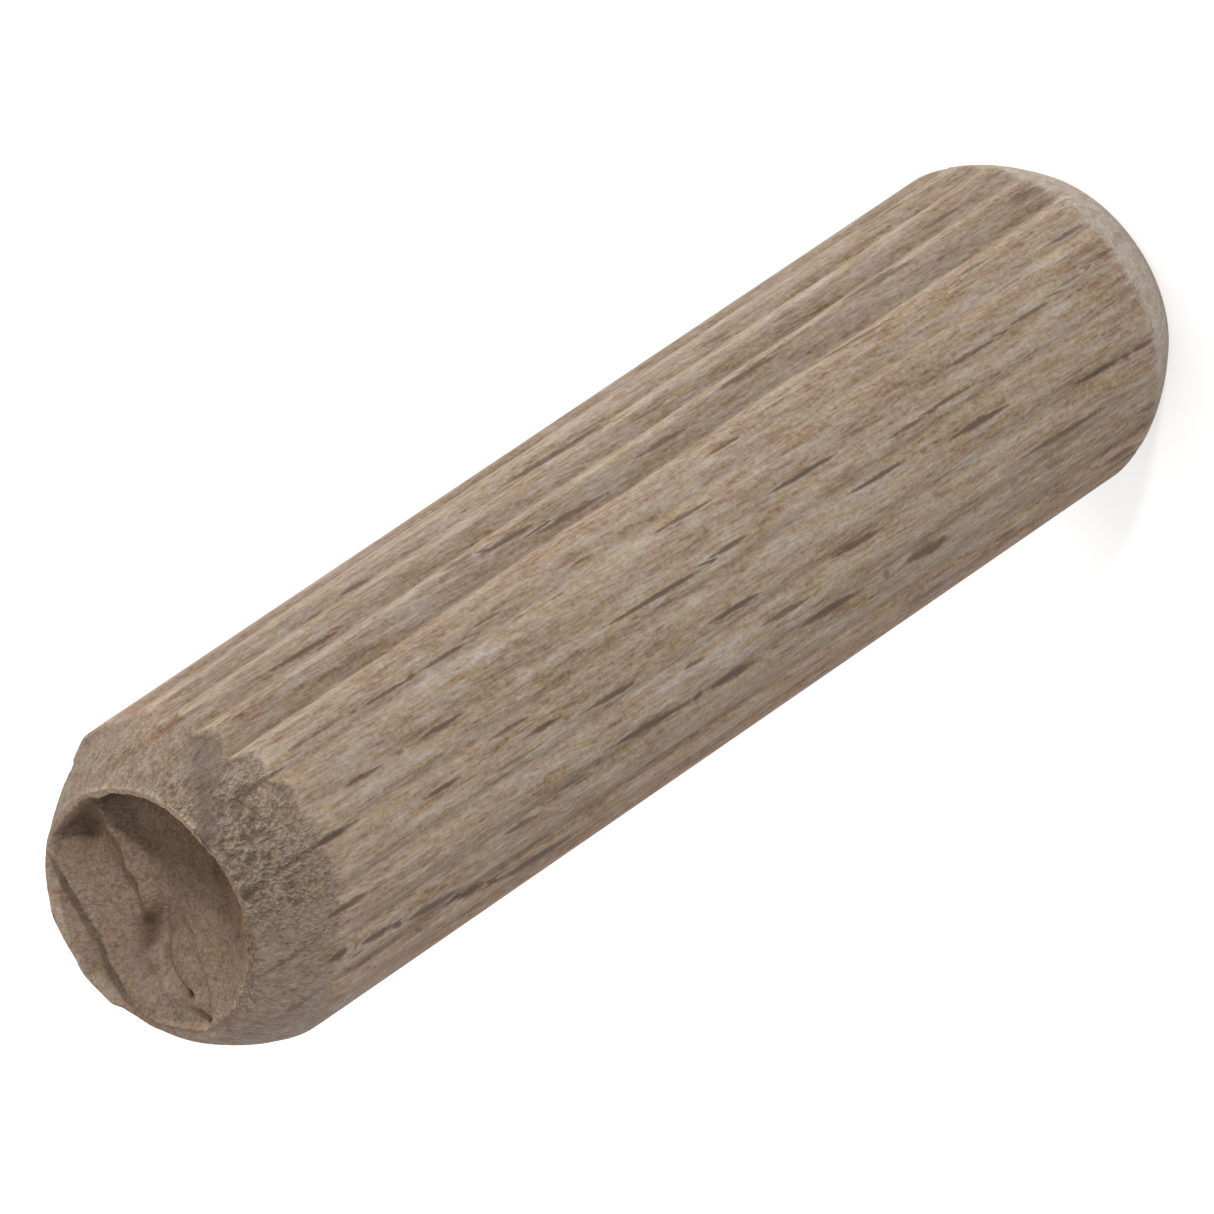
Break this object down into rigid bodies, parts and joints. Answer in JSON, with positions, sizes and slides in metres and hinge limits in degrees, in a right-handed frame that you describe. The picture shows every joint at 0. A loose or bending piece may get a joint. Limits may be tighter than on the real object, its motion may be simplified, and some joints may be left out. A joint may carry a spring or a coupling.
{
  "type": "fluted wooden dowel pin",
  "caption": "Round beech dowel pin with straight flutes, tapered ends and one torn, hollowed end.",
  "frame": {"origin": "foot of the axis, in the middle of the plain end", "axes": "+Z along the dowel from the plain end to the torn end, -Y along a flute, and the side towards which the torn end is deepest"},
  "size_m": [0.01, 0.01, 0.04],
  "materials": {
    "beech": "raw, sawn and fluted, unfinished"
  },
  "bodies": {
    "root": {"dowel_pin": "beech"}
  },
  "joints": []
}
